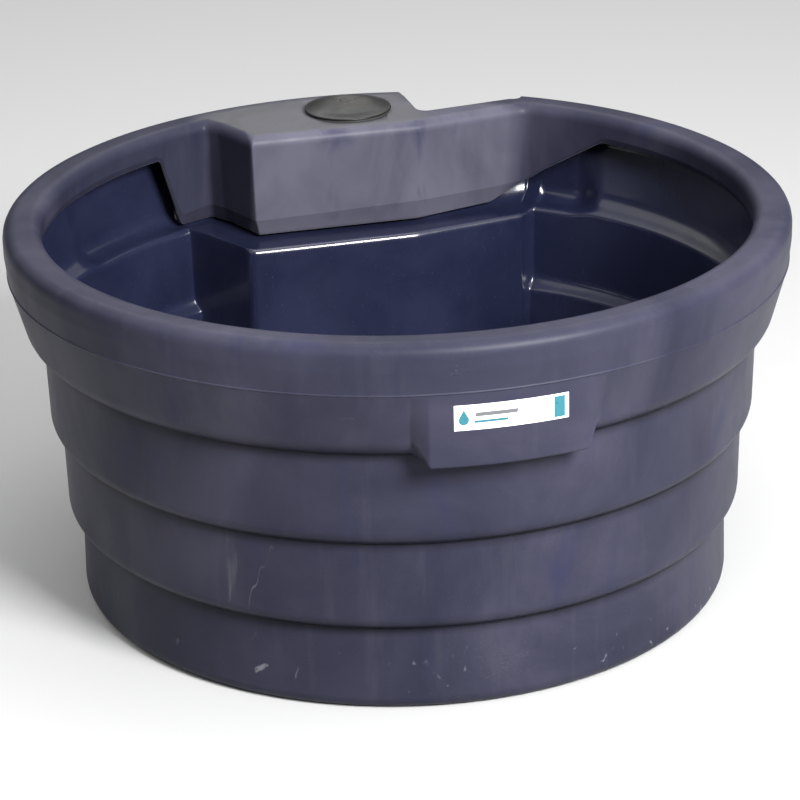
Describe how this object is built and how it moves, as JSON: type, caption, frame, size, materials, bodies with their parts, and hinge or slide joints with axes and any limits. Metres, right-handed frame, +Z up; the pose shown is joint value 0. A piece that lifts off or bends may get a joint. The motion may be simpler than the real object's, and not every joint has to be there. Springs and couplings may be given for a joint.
{
  "type": "livestock water trough",
  "caption": "Round one-piece plastic livestock water trough with stepped sides, a rolled rim and a built-in float-valve housing under a domed access cap.",
  "frame": {"origin": "middle of the base, on the ground", "axes": "+Z up; -Y towards the front with the label boss; +Y towards the float-valve housing; +X to the right seen from the front"},
  "size_m": [1.396, 1.3959, 0.723],
  "materials": {
    "tub_plastic": "matte mould side, glossy navy inside",
    "label": "printed film",
    "cap_plastic": "satin injection moulding",
    "rubber": "matte",
    "brass": "cast and turned",
    "white_plastic": "nylon",
    "float_plastic": "blow moulded",
    "steel": "stainless",
    "fitting_plastic": "moulded fitting"
  },
  "bodies": {
    "tub": {"tank_floor": "tub_plastic", "tank_wall_left": "tub_plastic", "tank_wall_front": "tub_plastic", "tank_wall_right": "tub_plastic", "supply_recess_wall": "tub_plastic", "valve_housing": "tub_plastic", "label_plate": "label", "valve_body": "brass", "valve_seat": "white_plastic", "valve_end_cap": "brass", "outlet_spout": "white_plastic", "inlet_seal_washer": "rubber", "inlet_outer_washer": "white_plastic", "inlet_backnut": "brass", "pivot_pin": "steel", "pivot_clip": "steel", "drain_bush": "fitting_plastic", "drain_gasket": "rubber", "drain_locknut": "fitting_plastic"},
    "cap_seal_ring": {"cap_seal": "rubber"},
    "cap": {"access_cap": "cap_plastic"},
    "float_arm": {"float_lever": "brass", "float_stem": "steel", "float": "float_plastic", "float_stem_nuts": "steel"},
    "piston": {"valve_piston": "brass", "piston_seal": "rubber"},
    "drain_seal_ring": {"drain_plug_seal": "rubber"},
    "drain_screw": {"drain_plug": "fitting_plastic"}
  },
  "joints": [
    {"name": "cap_lift", "type": "slide", "parent": "tub", "child": "cap_seal_ring", "axis": [0, 0, 1], "range_m": [0, 0.15]},
    {"name": "cap_turn", "type": "hinge", "parent": "cap_seal_ring", "child": "cap", "pos_m": [0.056, 0.57, 0.7], "axis": [0, 0, 1], "range_deg": [0, 60]},
    {"name": "float_swing", "type": "hinge", "parent": "tub", "child": "float_arm", "pos_m": [0.096, 0.588, 0.628], "axis": [0, 1, 0], "range_deg": [0, 24]},
    {"name": "piston_slide", "type": "slide", "parent": "tub", "child": "piston", "axis": [1, 0, 0], "range_m": [0, 0.0093]},
    {"name": "drain_travel", "type": "slide", "parent": "tub", "child": "drain_seal_ring", "axis": [0, 1, 0], "range_m": [0, 0.0208]},
    {"name": "drain_turn", "type": "hinge", "parent": "drain_seal_ring", "child": "drain_screw", "pos_m": [-0.06, 0.44, 0.062], "axis": [0, -1, 0], "range_deg": [-3240, 0]}
  ],
  "couplings": [
    {"joint": "piston_slide", "follows": "float_swing", "m_per_rad": 0.022},
    {"joint": "drain_travel", "follows": "drain_turn", "m_per_rad": -0.00036749}
  ]
}
